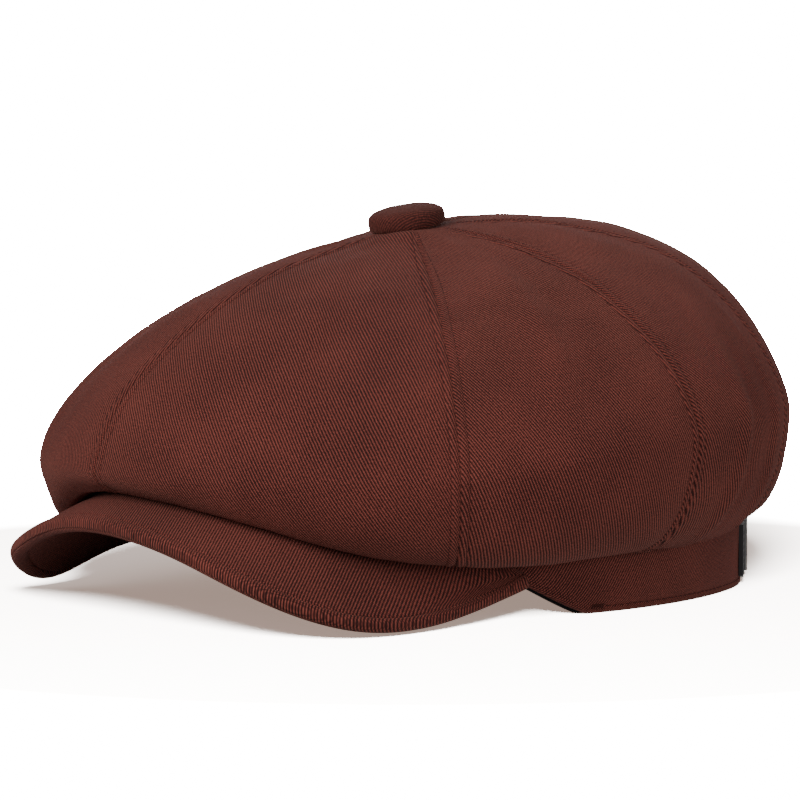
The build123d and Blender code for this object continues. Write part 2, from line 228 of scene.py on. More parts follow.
def lining_profile(degrees, share):
    degrees = np.abs(degrees)
    rim, band_angle = band_reach(degrees, LINING_INSET)
    foot = band_foot(band_angle) + BAND_HEIGHT + TUCK_GAP
    start = CROWN_HOLE / rim
    reach = start + (1 - start) * np.sin(np.pi / 2 * share)
    rise, slope = dome_rise(reach, LINING_POWER, LINING_ROOT, rim, degrees)
    return reach * rim, foot + (APEX_HEIGHT - LINING_DROP - foot) * rise - slope


def dome_frame(profile, degrees, share):
    """Points of a profile turned to their angles, and the outward normals in their planes."""
    step = 0.004
    before = profile(degrees, np.maximum(share - step, 0))
    after = profile(degrees, np.minimum(share + step, 1))
    run, climb = after[0] - before[0], after[1] - before[1]
    length = np.hypot(run, climb)
    radius, height = profile(degrees, share)
    turn = np.radians(degrees)
    across = np.stack([np.sin(turn), -np.cos(turn), np.zeros_like(turn)], -1)
    up = np.zeros_like(across)
    up[..., 2] = 1
    centre = np.array([0, ahead_to_y(BUTTON_AHEAD), 0])
    points = centre + across * radius[..., None] + up * height[..., None]
    normals = across * (-climb / length)[..., None] + up * (run / length)[..., None]
    return points, normals, radius


# -------- mesh helpers


def link(obj):
    bpy.context.scene.collection.objects.link(obj)
    return obj


def smoothstep(low, high, value):
    t = np.clip((value - low) / (high - low), 0, 1)
    return t * t * (3 - 2 * t)


def bell(value, centre, width):
    return np.exp(-(((value - centre) / width) ** 2))


def field(points, scale, seed=0.0):
    """Smooth noise from -1 to 1 at each point, with features about scale across."""
    shift = Vector((seed * 17.3, seed * 5.1, seed * 9.7))
    flat = points.reshape(-1, 3)
    values = [noise.noise(Vector(p) / scale + shift) for p in flat]
    return np.array(values).reshape(points.shape[:-1])


def mesh_object(name, vertices, faces):
    """Smooth-shaded object from vertices in millimetres."""
    mesh = bpy.data.meshes.new(name)
    mesh.from_pydata((vertices * MM).tolist(), [], faces)
    mesh.polygons.foreach_set("use_smooth", [True] * len(mesh.polygons))
    mesh.update()
    return link(bpy.data.objects.new(name, mesh))


def grid_mesh(name, points, uv, closed=False):
    """Mesh of a grid of points in millimetres; closed joins the last column to the first."""
    rows, columns = points.shape[:2]
    index = np.arange(rows * columns).reshape(rows, columns)
    ahead = np.roll(index, -1, axis=1)
    last = columns if closed else columns - 1
    a, b = index[:-1, :last], ahead[:-1, :last]
    c, d = ahead[1:, :last], index[1:, :last]
    faces = np.stack([a, d, c, b], -1).reshape(-1, 4)
    obj = mesh_object(name, points.reshape(-1, 3), faces.tolist())
    layer = obj.data.uv_layers.new(name="cloth")
    corner = np.zeros(len(obj.data.loops), np.int32)
    obj.data.loops.foreach_get("vertex_index", corner)
    layer.data.foreach_set("uv", (uv.reshape(-1, 2)[corner] * MM).astype(np.float32).ravel())
    return obj


def thicken(obj, thickness):
    """Gives a cloth grid its thickness behind its normals: inwards, but outwards on the brim."""
    solid = obj.modifiers.new("cloth", "SOLIDIFY")
    solid.thickness = thickness * MM
    solid.offset = -1
    solid.use_even_offset = False
    return obj


def running_total(steps, axis=0):
    """Sums of the steps so far along an axis, from zero."""
    return np.insert(np.cumsum(steps, axis), 0, 0, axis)


def from_middle(steps):
    """Lengths across a grid from its middle column."""
    across = running_total(steps, 1)
    return across - across[:, [across.shape[1] // 2]]


def grid_uv(points, degrees=0.0):
    """Lengths along the grid in millimetres: across from the middle column, and down."""
    down = running_total(np.linalg.norm(np.diff(points, axis=0), axis=-1))
    across = from_middle(np.linalg.norm(np.diff(points, axis=1), axis=-1))
    turn = math.radians(degrees)
    turned_across = across * math.cos(turn) - down * math.sin(turn)
    turned_down = across * math.sin(turn) + down * math.cos(turn)
    return np.stack([turned_across, turned_down], -1)


def grid_normals(points):
    rows = np.gradient(points, axis=0)
    columns = np.gradient(points, axis=1)
    normals = np.cross(rows, columns)
    return normals / np.maximum(np.linalg.norm(normals, axis=-1, keepdims=True), 1e-9)


def path_lengths(path):
    """How far along a path each of its points is."""
    return running_total(np.linalg.norm(np.diff(path, axis=0), axis=1))


def resample(path, step):
    """Points every step along a path, and how far along each one is."""
    lengths = path_lengths(path)
    spots = np.arange(0, lengths[-1], step)
    return np.stack([np.interp(spots, lengths, path[:, i]) for i in range(3)], -1), spots


THREAD_SIDES = 6
THREAD_RINGS = 6
STITCH_STEP = 0.25          # how finely a row of stitches follows its path
STITCH_SLIP = 0.12          # how far a stitch may stand off its even place


def stitch_rings(start, end, normal, radius, lift):
    """Rings of one stitch: a short thread that rises out of the cloth and dives back."""
    along = (end - start) / np.linalg.norm(end - start)
    out = normal - along * np.dot(normal, along)
    out /= np.linalg.norm(out)
    side = np.cross(along, out)
    points = []
    for i in range(THREAD_RINGS):
        t = i / (THREAD_RINGS - 1)
        bulge = math.sin(math.pi * t)
        centre = start + (end - start) * t + out * (lift * (2 * bulge**0.6 - 1))
        thick = radius * (0.55 + 0.45 * bulge**0.5)
        for k in range(THREAD_SIDES):
            turn = 2 * math.pi * k / THREAD_SIDES
            points.append(centre + side * thick * math.cos(turn) + out * thick * 0.8 * math.sin(turn))
    return points


def stitches(name, paths, radius=THREAD_RADIUS, pitch=STITCH_PITCH, length=STITCH_LENGTH, lift=0.02):
    """One object with every stitch along paths of (points, normals)."""
    sides = THREAD_SIDES
    vertices, faces = [], []
    for points, normals in paths:
        fine, spots = resample(points, STITCH_STEP)
        lengths = path_lengths(points)
        outs = np.stack([np.interp(spots, lengths, normals[:, i]) for i in range(3)], -1)
        total = spots[-1]
        place = 0.4
        while place + length < total:
            slip = rng.uniform(-STITCH_SLIP, STITCH_SLIP)
            first = min(int((place + slip) / STITCH_STEP), len(fine) - 1)
            second = min(int((place + slip + length) / STITCH_STEP), len(fine) - 1)
            base = len(vertices)
            start, end = fine[max(first, 0)], fine[second]
            if np.linalg.norm(end - start) > 0.3 * length:
                vertices += stitch_rings(start, end, outs[second], radius, lift)
                for r in range(THREAD_RINGS - 1):
                    for k in range(sides):
                        a = base + r * sides + k
                        b = base + r * sides + (k + 1) % sides
                        faces.append((a, b, b + sides, a + sides))
                faces.append(tuple(base + k for k in reversed(range(sides))))
                faces.append(tuple(base + (THREAD_RINGS - 1) * sides + k for k in range(sides)))
            place += pitch
    return mesh_object(name, np.array(vertices), faces)


# -------- materials


def new_material(name):
    material = bpy.data.materials.new(name)
    material.use_nodes = True
    tree = material.node_tree
    return material, tree, tree.nodes["Principled BSDF"]


def add(tree, kind, inputs=None, **settings):
    node = tree.nodes.new(kind)
    for key, value in settings.items():
        setattr(node, key, value)
    for key, value in (inputs or {}).items():
        if isinstance(value, bpy.types.NodeSocket):
            tree.links.new(value, node.inputs[key])
        else:
            node.inputs[key].default_value = value
    return node


def math_node(tree, operation, first, second=0.0):
    return add(tree, "ShaderNodeMath", {0: first, 1: second}, operation=operation).outputs[0]


def multiply_add(tree, value, factor, offset):
    inputs = {0: value, 1: factor, 2: offset}
    return add(tree, "ShaderNodeMath", inputs, operation="MULTIPLY_ADD").outputs[0]


def sine(tree, value, factor):
    return math_node(tree, "SINE", math_node(tree, "MULTIPLY", value, factor))


def woven(tree, where, warp_rate, weft_rate):
    """Waves of the warp and the weft, from lengths across and down."""
    split = add(tree, "ShaderNodeSeparateXYZ", {"Vector": where})
    return sine(tree, split.outputs["X"], warp_rate), sine(tree, split.outputs["Y"], weft_rate)


def noise_value(tree, where, scale, detail=2.0):
    inputs = {"Vector": where, "Scale": scale, "Detail": detail}
    return add(tree, "ShaderNodeTexNoise", inputs).outputs["Fac"]


def bump_surface(tree, shader, height, strength, distance):
    inputs = {"Height": height, "Strength": strength, "Distance": distance}
    tree.links.new(add(tree, "ShaderNodeBump", inputs).outputs["Normal"], shader.inputs["Normal"])


def colour_surface(tree, shader, factor, stops):
    """Colours a shader from stops of (position, colour)."""
    node = add(tree, "ShaderNodeValToRGB", {"Fac": factor})
    ramp = node.color_ramp
    while len(ramp.elements) < len(stops):
        ramp.elements.new(0.5)
    for element, (position, colour) in zip(ramp.elements, stops):
        element.position = position
        element.color = (*colour, 1)
    tree.links.new(node.outputs["Color"], shader.inputs["Base Color"])


def twill_material(
    name, dark, mid, light, angle=RIB_ANGLE, pitch=RIB_PITCH, rough=0.88, sheen=0.18,
    tint=(0.9, 0.4, 0.32), depth=0.0004, contrast=1.0,
):
    """Diagonal ribs of twisted yarn, from the piece's own lengths across and down."""
    material, tree, shader = new_material(name)
    where = add(tree, "ShaderNodeUVMap", uv_map="cloth").outputs["UV"]
    slub = noise_value(tree, where, 260.0, 3.0)
    turned = add(
        tree,
        "ShaderNodeMapping",
        {"Vector": where, "Rotation": (0, 0, math.radians(angle))},
    )
    split = add(tree, "ShaderNodeSeparateXYZ", {"Vector": turned.outputs["Vector"]})
    across, along = split.outputs["X"], split.outputs["Y"]
    wander = math_node(tree, "MULTIPLY", slub, 2.2)
    phase = math_node(tree, "MULTIPLY", across, 2 * math.pi / (pitch * MM))
    phase = math_node(tree, "ADD", phase, wander)
    rib = multiply_add(tree, math_node(tree, "SINE", phase), 0.5, 0.5)
    yarn_phase = math_node(tree, "MULTIPLY", along, 2 * math.pi / (0.62 * pitch * MM))
    yarn_phase = math_node(tree, "ADD", yarn_phase, math_node(tree, "MULTIPLY", phase, 0.5))
    yarn = multiply_add(tree, math_node(tree, "SINE", yarn_phase), 0.5, 0.5)
    fuzz = noise_value(tree, where, 1500.0, 3.0)
    float_height = math_node(tree, "MULTIPLY", math_node(tree, "MULTIPLY", rib, yarn), 0.42)
    height = math_node(tree, "MULTIPLY", rib, 0.42 * contrast)
    height = math_node(tree, "ADD", height, math_node(tree, "MULTIPLY", float_height, contrast))
    height = math_node(tree, "ADD", height, fuzz)
    patch = noise_value(tree, where, 28.0, 4.0)
    # Painted shade and highlight: the tone follows the ribs' height, darker in the valleys between
    # ribs and lighter on their tops; the patch noise and fuzz are the cloth's own uneven tone
    tone = math_node(tree, "ADD", height, math_node(tree, "MULTIPLY", patch, 0.42))
    tone = math_node(tree, "SUBTRACT", tone, 0.475 - 0.315 * (1 - contrast))
    colour_surface(tree, shader, tone, [(0.22, dark), (0.55, mid), (0.9, light)])
    bump_surface(tree, shader, height, 0.75, depth)
    tree.links.new(multiply_add(tree, fuzz, 0.1, rough - 0.05), shader.inputs["Roughness"])
    shader.inputs["Specular IOR Level"].default_value = 0.22
    shader.inputs["Sheen Weight"].default_value = sheen
    shader.inputs["Sheen Roughness"].default_value = 0.45
    shader.inputs["Sheen Tint"].default_value = (*tint, 1)
    return material


def thread_material(name, colour, shine=0.55):
    """Twisted sewing thread."""
    material, tree, shader = new_material(name)
    where = add(tree, "ShaderNodeTexCoord").outputs["Object"]
    twist = add(
        tree,
        "ShaderNodeTexWave",
        {"Vector": where, "Scale": 900.0, "Distortion": 1.5, "Detail": 1.0},
        bands_direction="DIAGONAL",
    )
    tone = noise_value(tree, where, 180.0)
    dark = tuple(0.6 * c for c in colour)
    light = tuple(min(1.0, 1.35 * c) for c in colour)
    mixed = math_node(tree, "ADD", math_node(tree, "MULTIPLY", tone, 0.5),
                      math_node(tree, "MULTIPLY", twist.outputs["Fac"], 0.5))
    colour_surface(tree, shader, mixed, [(0.2, dark), (0.8, light)])
    bump_surface(tree, shader, twist.outputs["Fac"], 0.5, 0.0001)
    shader.inputs["Roughness"].default_value = shine
    shader.inputs["Specular IOR Level"].default_value = 0.2
    return material


def lining_material(name):
    """Fine plain-weave polyester with a soft sheen."""
    material, tree, shader = new_material(name)
    where = add(tree, "ShaderNodeUVMap", uv_map="cloth").outputs["UV"]
    weave = math_node(tree, "MULTIPLY", *woven(tree, where, 14000.0, 14000.0))
    cloud = noise_value(tree, where, 45.0, 5.0)
    tone = multiply_add(tree, weave, 0.15, cloud)
    stops = [(0.2, (0.007, 0.007, 0.008)), (0.9, (0.028, 0.027, 0.03))]
    colour_surface(tree, shader, tone, stops)
    bump_surface(tree, shader, weave, 0.3, 0.0001)
    tree.links.new(multiply_add(tree, cloud, 0.15, 0.38), shader.inputs["Roughness"])
    shader.inputs["Sheen Weight"].default_value = 0.3
    return material


def webbing_material(name):
    """Black woven tape with crosswise ribs."""
    material, tree, shader = new_material(name)
    where = add(tree, "ShaderNodeUVMap", uv_map="cloth").outputs["UV"]
    rib, yarn = woven(tree, where, 5200.0, 9000.0)
    height = math_node(tree, "ADD", rib, math_node(tree, "MULTIPLY", yarn, 0.5))
    tone = multiply_add(tree, height, 0.12, noise_value(tree, where, 160.0, 4.0))
    stops = [(0.2, (0.006, 0.006, 0.007)), (0.9, (0.045, 0.043, 0.045))]
    colour_surface(tree, shader, tone, stops)
    bump_surface(tree, shader, height, 0.6, 0.0002)
    shader.inputs["Roughness"].default_value = 0.72
    shader.inputs["Sheen Weight"].default_value = 0.25
    return material


def metal_material(name, base, worn, rough=0.36):
    """Plated metal: darker in patches, brighter where rubbed."""
    material, tree, shader = new_material(name)
    where = add(tree, "ShaderNodeTexCoord").outputs["Object"]
    stain = noise_value(tree, where, 320.0, 6.0)
    grain = noise_value(tree, where, 4200.0)
    edge = add(tree, "ShaderNodeNewGeometry").outputs["Pointiness"]
    tone = math_node(tree, "ADD", math_node(tree, "MULTIPLY", stain, 0.8),
                     math_node(tree, "MULTIPLY", math_node(tree, "SUBTRACT", edge, 0.5), 4.0))
    colour_surface(tree, shader, tone, [(0.25, base), (0.75, worn)])
    bump_surface(tree, shader, grain, 0.25, 0.00008)
    tree.links.new(multiply_add(tree, stain, 0.22, rough - 0.1), shader.inputs["Roughness"])
    shader.inputs["Metallic"].default_value = 1.0
    return material


def plain_material(name, dark, light, rough):
    """Hidden inner pieces: moulded or pressed sheet with a faint mottle."""
    material, tree, shader = new_material(name)
    where = add(tree, "ShaderNodeTexCoord").outputs["Object"]
    mottle = noise_value(tree, where, 240.0, 5.0)
    colour_surface(tree, shader, mottle, [(0.3, dark), (0.7, light)])
    bump_surface(tree, shader, mottle, 0.3, 0.0001)
    shader.inputs["Roughness"].default_value = rough
    return material


# Twill tones run from the valleys between ribs (dark, painted shade) to the rib tops (light, painted
# highlight), shifted by the cloth's own random patches
TWILL_DARK = (0.019, 0.0042, 0.0037)
TWILL_MID = (0.107, 0.0234, 0.0178)
TWILL_LIGHT = (0.305, 0.075, 0.055)

TWILL_TONES = (TWILL_DARK, TWILL_MID, TWILL_LIGHT)
# Painted shade: the button uses the crown's twill colours darkened, so its top looks less lit than
# the light makes it
BUTTON_PAINTED_SHADE = 0.62         # the button is darker than the crown
BUTTON_SHADED_TONES = [tuple(BUTTON_PAINTED_SHADE * part for part in tone) for tone in TWILL_TONES]

materials = {
    "crown": twill_material("crown_twill", *TWILL_TONES),
    "brim": twill_material("brim_twill", *TWILL_TONES, angle=35.0),
    "band": twill_material("band_twill", *TWILL_TONES, angle=34.0),
    # The button's twill takes the darkened tones: painted shade
    "button": twill_material("button_twill", *BUTTON_SHADED_TONES, angle=20.0, contrast=0.5),
    # Painted shade: the rust thread is darker than the cloth to stand in for the shade of the groove
    # its stitches lie in
    "thread": thread_material("rust_thread", (0.050, 0.0140, 0.0115), 0.8),
    "black_thread": thread_material("black_thread", (0.02, 0.02, 0.021)),
    "lining": lining_material("black_lining"),
    "webbing": webbing_material("black_webbing"),
    "sweatband": twill_material(
        "sweatband_twill", (0.004, 0.004, 0.0045), (0.012, 0.012, 0.013), (0.03, 0.03, 0.032),
        pitch=0.9, sheen=0.1, tint=(0.5, 0.5, 0.5), depth=0.00015,
    ),
    "buckle": metal_material("antique_metal", (0.20, 0.195, 0.19), (0.62, 0.60, 0.57)),
    "button_metal": metal_material("stamped_metal", (0.4, 0.4, 0.4), (0.7, 0.7, 0.69), 0.3),
    "board": plain_material("brim_board", (0.5, 0.5, 0.48), (0.66, 0.66, 0.63), 0.5),
    "interlining": plain_material("interlining", (0.38, 0.36, 0.31), (0.55, 0.53, 0.47), 0.9),
}


def finish_piece(obj, material, body, slot, *nodes):
    """Gives a piece its material and body, and hides the CAD nodes that it replaces. The slot is not
    used.
    """
    obj.data.materials.clear()
    obj.data.materials.append(materials[material])
    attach(obj, body)
    if nodes:
        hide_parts(*nodes)
    return obj


def sew(name, paths, material="thread", slot="twill", **thread):
    """One piece with every stitch along the paths."""
    finish_piece(stitches(name, paths, **thread), material, "cap", slot)


# -------- crown

NEAR_SEAM = np.array([0, 0.3, 0.7, 1.2, 1.8, 2.4, 2.8, 3.1, 3.4, 3.9, 4.8, 6.2, 8.4, 11.5])
STITCH_COLUMN = 7
MIDDLE_COLUMNS = 22
CROWN_ROWS = 250
PANEL_GRAIN = (0.0, -8.0, -8.0, -10.0)     # each panel's twill, turned from the first panel's


def column_distances(half_width):
    """Distances from a seam to the panel's middle, close together near the seam."""
    reach = NEAR_SEAM[-1] * np.minimum(1, half_width / 24.0)
    near = NEAR_SEAM[None] * (reach / NEAR_SEAM[-1])[:, None]
    steps = np.arange(1, MIDDLE_COLUMNS + 1) / MIDDLE_COLUMNS
    rest = reach[:, None] + (half_width - reach)[:, None] * steps[None]
    return np.concatenate([near, rest], 1)


# Soft upright folds in the cloth: azimuth, its lean down the panel, width in degrees, share of the
# panel's length at the top and bottom, and depth.
FOLDS = (
    (168.0, -14.0, 2.6, 0.40, 0.84, 1.5),
    (155.0, -10.0, 2.0, 0.50, 0.86, 1.5),
    (131.0, -3.0, 1.9, 0.36, 0.86, 1.8),
    (118.0, -4.0, 2.3, 0.38, 0.88, 1.9),
    (82.0, -9.0, 3.4, 0.10, 0.55, 0.8),
    (30.0, 8.0, 4.0, 0.08, 0.50, 0.9),
    (-26.0, 6.0, 3.6, 0.20, 0.75, 1.0),
    (-88.0, 8.0, 3.2, 0.35, 0.80, 1.0),
    (-128.0, -8.0, 2.8, 0.45, 0.84, 1.2),
    (-160.0, 9.0, 2.4, 0.50, 0.84, 1.4),
)


def folds(angles, share):
    """Each fold is a ridge with a shallow hollow beside it."""
    total = 0 * angles
    for azimuth, lean, width, top, bottom, depth in FOLDS:
        run = np.clip((share - top) / (bottom - top), 0, 1)
        away = (angles - azimuth - lean * (run - 0.5)) / width
        ridge = bell(away, 0, 1) - 0.6 * bell(away, 1.7, 1)
        total += depth * np.sin(np.pi * run) ** 1.3 * ridge
    return total


def crown_relief(points, distance, angles, share, run, radius, seed):
    """How far the cloth stands out from the crown's plain shape."""
    open_out = smoothstep(10, 30, radius)
    groove = -0.36 * bell(distance, 0, 0.5)
    felled = 0.25 * smoothstep(0.4, 1.3, distance) * (1 - smoothstep(2.4, 3.1, distance))
    dent = -0.14 * bell(distance, STITCH_LINE, 0.4)
    pillow = 0.75 * (1 - np.exp(-np.maximum(distance - STITCH_LINE, 0) / 10)) - 0.75
    wander = 4 * field(points, 23, seed)
    pucker = np.sin(2 * np.pi * run / 7.5 + wander) + 0.6 * np.sin(2 * np.pi * run / 4.1 - 2 * wander)
    pucker = 0.06 * pucker * bell(distance, 4.2, 3.4) * smoothstep(0.4, 1.6, distance)
    gather = 0.35 * np.sin(np.radians(angles) * 11 + 2 * field(points, 30, 8)) * bell(radius, 24, 13)
    broad = 1.1 * field(points, 62, 3) + 0.7 * field(points * [1, 1, 0.55], 27, 5)
    fine = 0.28 * field(points * [1, 1, 0.6], 11, seed + 9) * smoothstep(2, 10, distance)
    away = smoothstep(3, 12, distance)
    soft = (broad + folds(angles, share) * away + gather * away) * smoothstep(6, 26, radius)
    shoulder = 0.8 * bell(share, 0.42, 0.13) * bell(np.abs(angles), 138, 26)
    sag = 4.2 * bell(share, FOLD_SHARE + 0.03, 0.06) * bell(angles, -30, 30)
    collar = 1.8 * bell(radius, 16, 7) * bell(angles, 55, 36)
    cheek = 3.4 * bell(share, FOLD_SHARE - 0.05, 0.06) * bell(angles, -42, 22)
    seams = open_out * (groove + felled + dent + pucker + pillow)
    return seams + soft + shoulder + sag + collar + cheek + fine - 0.5


def crown_panel(side, number):
    """Makes one gore, and returns its two rows of topstitching as (points, normals)."""
    start, end = SEAM_ANGLES[number - 1], SEAM_ANGLES[number]
    half = math.radians((end - start) / 2)
    share = np.linspace(0, 1, CROWN_ROWS)
    middle = np.full(CROWN_ROWS, (start + end) / 2)
    radius = crown_profile(middle, share)[0]
    distance = column_distances(radius * half)
    turn = np.degrees(distance / radius[:, None])
    first = start + turn
    second = (end - turn)[:, -2::-1]
    angles = np.concatenate([first, second], 1)
    distance = np.concatenate([distance, distance[:, -2::-1]], 1)
    if side < 0:
        angles, distance = -angles[:, ::-1], distance[:, ::-1]
    grid_share = np.repeat(share[:, None], angles.shape[1], 1)
    points, normals, reach = dome_frame(crown_profile, angles, grid_share)
    run = grid_uv(points)[..., 1]
    seed = number + 4 * (side < 0)
    relief = crown_relief(points, distance, angles, grid_share, run, reach, seed)
    points = points + normals * relief[..., None]
    name = f"crown_panel_{'left' if side > 0 else 'right'}_{number}"
    uv = grid_uv(points, PANEL_GRAIN[number - 1])
    obj = thicken(grid_mesh(name + "_cloth", points, uv), CLOTH)
    finish_piece(obj, "crown", "cap", "twill", name)
    rows = [points[:, STITCH_COLUMN], points[:, -1 - STITCH_COLUMN]]
    outs = [normals[:, STITCH_COLUMN], normals[:, -1 - STITCH_COLUMN]]
    clear = (reach[:, STITCH_COLUMN] > 15) & (share < 0.93)
    return [(row[clear], out[clear]) for row, out in zip(rows, outs)]


def make_crown():
    paths = []
    for side in (1, -1):
        for number in range(1, len(SEAM_ANGLES)):
            paths += crown_panel(side, number)
    sew("crown_topstitching", paths)


make_crown()

# -------- lining

LINING_ANGLES = (0.0, 90.0, 180.0)
LINING_ROWS = 90
LINING_COLUMNS = 70
LINING_CLOTH = 0.35


def make_lining():
    share = np.linspace(0, 1, LINING_ROWS)
    for end_name, start, end in zip(("front", "rear"), LINING_ANGLES, LINING_ANGLES[1:]):
        for side in (1, -1):
            angles = np.linspace(start, end, LINING_COLUMNS)
            if side < 0:
                angles = -angles[::-1]
            grid_angles = np.repeat(angles[None], len(share), 0)
            grid_share = np.repeat(share[:, None], len(angles), 1)
            points, normals, reach = dome_frame(lining_profile, grid_angles, grid_share)
            edge = np.minimum(np.abs(grid_angles - angles[0]), np.abs(grid_angles - angles[-1]))
            distance = np.radians(edge) * reach
            relief = -0.5 * bell(distance, 0, 0.9) - 0.5 + 0.5 * field(points, 24, side + start)
            relief += 0.25 * np.sin(grid_angles * 2.1) * smoothstep(0.55, 1.0, grid_share)
            relief *= smoothstep(6, 20, reach) * (1 - 0.6 * smoothstep(0.9, 1.0, grid_share))
            points = points + normals * relief[..., None]
            node = f"lining_panel_{end_name}_{'left' if side > 0 else 'right'}"
            uv = grid_uv(points)
            obj = thicken(grid_mesh(node + "_cloth", points, uv), LINING_CLOTH)
            finish_piece(obj, "lining", "cap", "lining", node)


make_lining()

# -------- brim


def cubic_through(points, spots):
    """Natural cubic spline through points by chord length, at spots from 0 to 1."""
    points = np.array(points, float)
    knots = path_lengths(points)
    knots /= knots[-1]
    count = len(points)
    gaps = np.diff(knots)
    system = np.eye(count)
    right = np.zeros((count, 3))
    for i in range(1, count - 1):
        system[i, i - 1 : i + 2] = gaps[i - 1], 2 * (gaps[i - 1] + gaps[i]), gaps[i]
        slopes = np.diff(points[i - 1 : i + 2], axis=0) / gaps[i - 1 : i + 1, None]
        right[i] = 6 * (slopes[1] - slopes[0])
    bends = np.linalg.solve(system, right)
    cell = np.clip(np.searchsorted(knots, spots) - 1, 0, count - 2)
    h = gaps[cell][:, None]
    a = (knots[cell + 1] - spots)[:, None] / h
    b = 1 - a
    return (
        a * points[cell]
        + b * points[cell + 1]
        + ((a**3 - a) * bends[cell] + (b**3 - b) * bends[cell + 1]) * h**2 / 6
    )


BRIM_HALF = 1.75            # half the brim's thickness at its rolled edge
BRIM_COLUMNS = 260
BRIM_ROWS = 44
EDGE_TURNS = 8              # rows round a quarter of the rolled edge
COVER_CLOTH = 0.7           # cloth of the brim and the button
TOP_STITCHES = STITCH_LINE + 0.2
UNDER_STITCHES = STITCH_LINE + 1.2


def brim_frame():
    """Root and tip lines of the brim's middle surface, from the wearer's right to left."""
    spots = np.linspace(0, 1, BRIM_COLUMNS)
    left = [(side, ahead_to_y(ahead), up) for ahead, side, up in BRIM_EDGE]
    right = [(-side, ahead_to_y(ahead), up) for ahead, side, up in BRIM_EDGE_RIGHT]
    tip = cubic_through(right[::-1] + left, spots)
    angle = BRIM_SWEEP * (2 * spots - 1)
    ahead, side = oval(angle, 0.2)
    root = np.stack([side, ahead_to_y(ahead), band_foot(angle) + BRIM_ROOT_LIFT], -1)
    return spots, root, tip


def brim_sections(profile, lift_at):
    """Grid over the brim: profile gives (share of the depth, turn round the edge) by row."""
    spots, root, tip = brim_frame()
    depth = np.linalg.norm(tip - root, axis=1)
    outward = (tip - root) / depth[:, None]
    along = np.gradient(tip, axis=0)
    along /= np.linalg.norm(along, axis=1, keepdims=True)
    up = np.cross(outward, along)
    up /= np.linalg.norm(up, axis=1, keepdims=True)
    up *= np.sign(up[:, 2:3])
    inset = np.minimum(BRIM_HALF / depth, 0.5)
    rows = []
    for share, turn in profile:
        spot = root + (tip - root) * (share * (1 - inset))[:, None]
        arch = BRIM_ARCH * np.sin(np.pi * share) * np.sin(np.pi * spots)
        edge_distance = (1 - share) * depth + BRIM_HALF * (1 - math.sin(turn))
        lift = lift_at(edge_distance, depth, spot)
        half = BRIM_HALF + lift
        spot = spot + np.array([0, 0, 1]) * arch[:, None]
        spot = spot + up * (half * math.cos(turn))[:, None]
        spot = spot + outward * (half * math.sin(turn))[:, None]
        rows.append(spot)
    return np.array(rows)


def brim_shares(face_turn, edge_turns):
    """Rows from the root to the rolled edge, closer together near the edge."""
    flat = [1 - (1 - i / BRIM_ROWS) ** 1.8 for i in range(BRIM_ROWS + 1)]
    return [(share, face_turn) for share in flat] + [(1.0, turn) for turn in edge_turns]


def brim_lift(edge_distance, depth, points):
    """The seam allowance stands up along the edge as far as the row of stitches."""
    ridge = 0.35 * (1 - smoothstep(2.6, 3.1, edge_distance))
    dent = -0.45 * bell(edge_distance, TOP_STITCHES, 0.45)
    wave = 0.25 * field(points, 38, 4) + 0.12 * field(points, 13, 6)
    return ridge + dent + wave * smoothstep(0, 6, depth)


def under_lift(edge_distance, depth, points):
    ridge = 0.25 * (1 - smoothstep(3.6, 4.2, edge_distance))
    dent = -0.5 * bell(edge_distance, UNDER_STITCHES, 0.5)
    return ridge + dent + 0.2 * field(points, 30, 8)


def brim_uv(points):
    """The brim unbent about a line that points ahead: lengths round the bend, and ahead."""
    round_bend = np.hypot(np.diff(points[..., 0], axis=1), np.diff(points[..., 2], axis=1))
    return np.stack([from_middle(round_bend), -points[..., 1]], -1)


def make_brim():
    quarter = math.pi / 2
    top_turns = [quarter * i / EDGE_TURNS for i in range(1, EDGE_TURNS + 2)]
    under_turns = [math.pi - quarter * i / EDGE_TURNS for i in range(1, EDGE_TURNS)]
    top = brim_sections(brim_shares(0.0, top_turns), brim_lift)
    under = brim_sections(brim_shares(math.pi, under_turns), under_lift)
    for name, points, node in (
        ("brim_top_cloth", top, "brim_top_cover"),
        ("brim_under_cloth", under[:, ::-1], "brim_under_cover"),
    ):
        obj = thicken(grid_mesh(name, points[:, ::-1], brim_uv(points)[:, ::-1]), COVER_CLOTH)
        finish_piece(obj, "brim", "cap", "twill", node)
    paths = []
    for grid, inset in ((top, TOP_STITCHES), (under, UNDER_STITCHES)):
        normals = grid_normals(grid)
        facing = np.sign(normals[BRIM_ROWS // 2, BRIM_COLUMNS // 2, 2])
        normals *= facing * (1 if grid is top else -1)
        paths.append(inset_path(grid, normals, inset, BRIM_ROWS))
    sew("brim_topstitching", paths)


def inset_path(grid, normals, inset, edge_row):
    """Line on a grid at a distance from its edge row."""
    path, outs = [], []
    for column in range(6, grid.shape[1] - 6):
        line = grid[edge_row::-1, column]
        lengths = path_lengths(line)
        reach = inset - BRIM_HALF
        if lengths[-1] < reach + 1:
            continue
        path.append([np.interp(reach, lengths, line[:, i]) for i in range(3)])
        out = normals[edge_row::-1, column]
        outs.append([np.interp(reach, lengths, out[:, i]) for i in range(3)])
    return np.array(path), np.array(outs)


make_brim()

# -------- band

BAND_COLUMNS = 420
BAND_CORNER = 9.0           # radius of the lower rear corners
HEM_TURNS = 9
UV_ROW = 10                 # the row of the strip that its lengths are measured on
# Offsets of the outer and inner face, height of the foot, and rows of the outer face.
OUTER_BAND = ((0.0, -1.5), 0.0, 46)
SWEATBAND = ((-3.6, -4.6), -0.9, 30)
# Heights in metres that count both faces of each strip.
HEM_HEIGHT = 2.1
HEM_OFFSET = 0.1
HEM_START = 82.5            # degrees from the front
HEM_POINTS = 200
TACK_SPAN = 4.5


